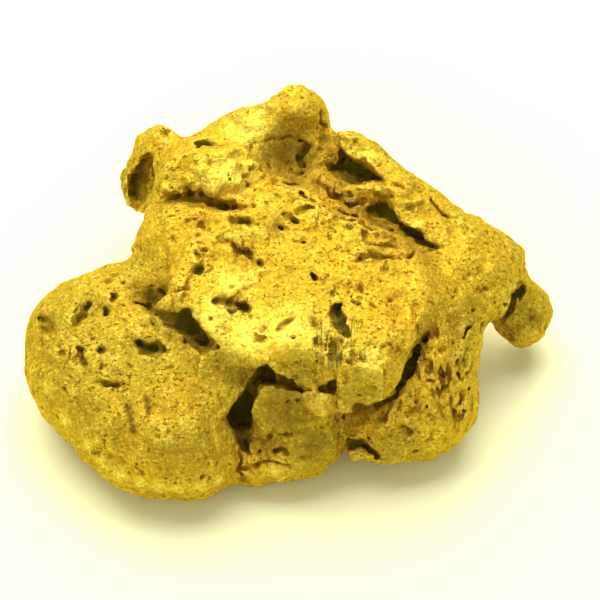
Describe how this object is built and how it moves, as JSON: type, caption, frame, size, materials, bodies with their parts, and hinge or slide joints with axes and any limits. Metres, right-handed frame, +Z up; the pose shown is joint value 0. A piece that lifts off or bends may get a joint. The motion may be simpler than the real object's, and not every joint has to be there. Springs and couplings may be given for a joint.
{
  "type": "gold nugget",
  "caption": "Water-worn lump of native gold with rounded lobes, an overhanging upper lip, deep clefts and a pitted skin.",
  "frame": {"origin": "middle of the bounding box in plan, on the plane the nugget rests on", "axes": "+X along the longest extent, towards the small knob; +Z up, through the thickness; -Y towards the three front feet under the overhanging lip"},
  "size_m": [0.0266, 0.0206, 0.0103],
  "materials": {
    "gold": "natural satin gold, finely pitted, with brown iron stain in the hollows"
  },
  "bodies": {
    "root": {"nugget": "gold"}
  },
  "joints": []
}
